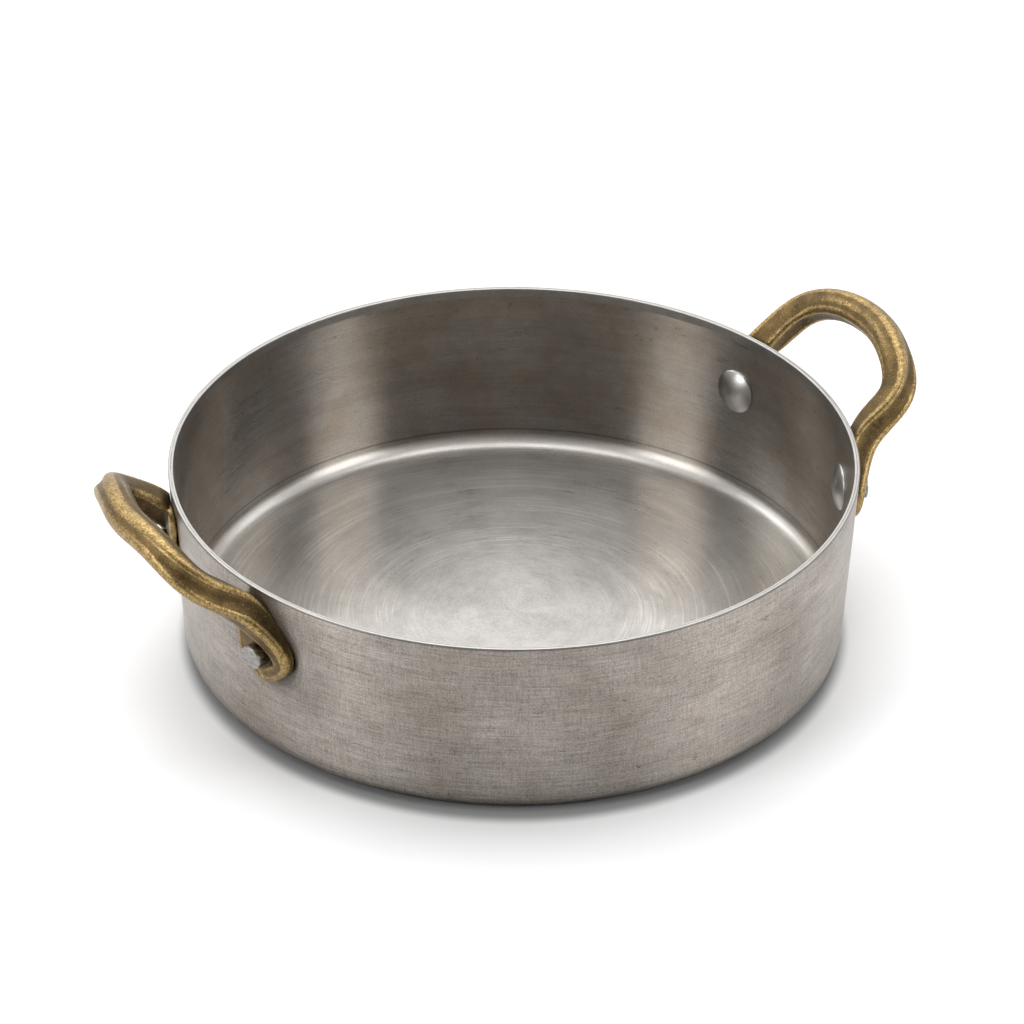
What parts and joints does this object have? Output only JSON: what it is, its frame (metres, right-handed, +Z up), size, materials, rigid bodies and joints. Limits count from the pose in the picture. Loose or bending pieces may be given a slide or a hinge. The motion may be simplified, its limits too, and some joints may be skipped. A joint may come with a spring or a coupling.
{
  "type": "casserole dish",
  "caption": "Low round steel pan with a slightly flared wall and two cast brass loop handles riveted to it.",
  "frame": {"origin": "on the pan's axis, at the level of the table under its flat base", "axes": "+Z up along the pan's axis, +X from one handle to the other towards the right handle, +Y to the rear"},
  "size_m": [0.2516, 0.2, 0.0759],
  "materials": {
    "pan_steel": "brushed round the wall and floor, lightly scratched",
    "handle_brass": "as cast and tumbled, dull gold with brown hollows",
    "rivet_steel": "satin heads, scratched tails"
  },
  "bodies": {
    "root": {"pan_body": "pan_steel", "right_handle": "handle_brass", "left_handle": "handle_brass", "right_rear_rivet": "rivet_steel", "right_front_rivet": "rivet_steel", "left_front_rivet": "rivet_steel", "left_rear_rivet": "rivet_steel"}
  },
  "joints": []
}
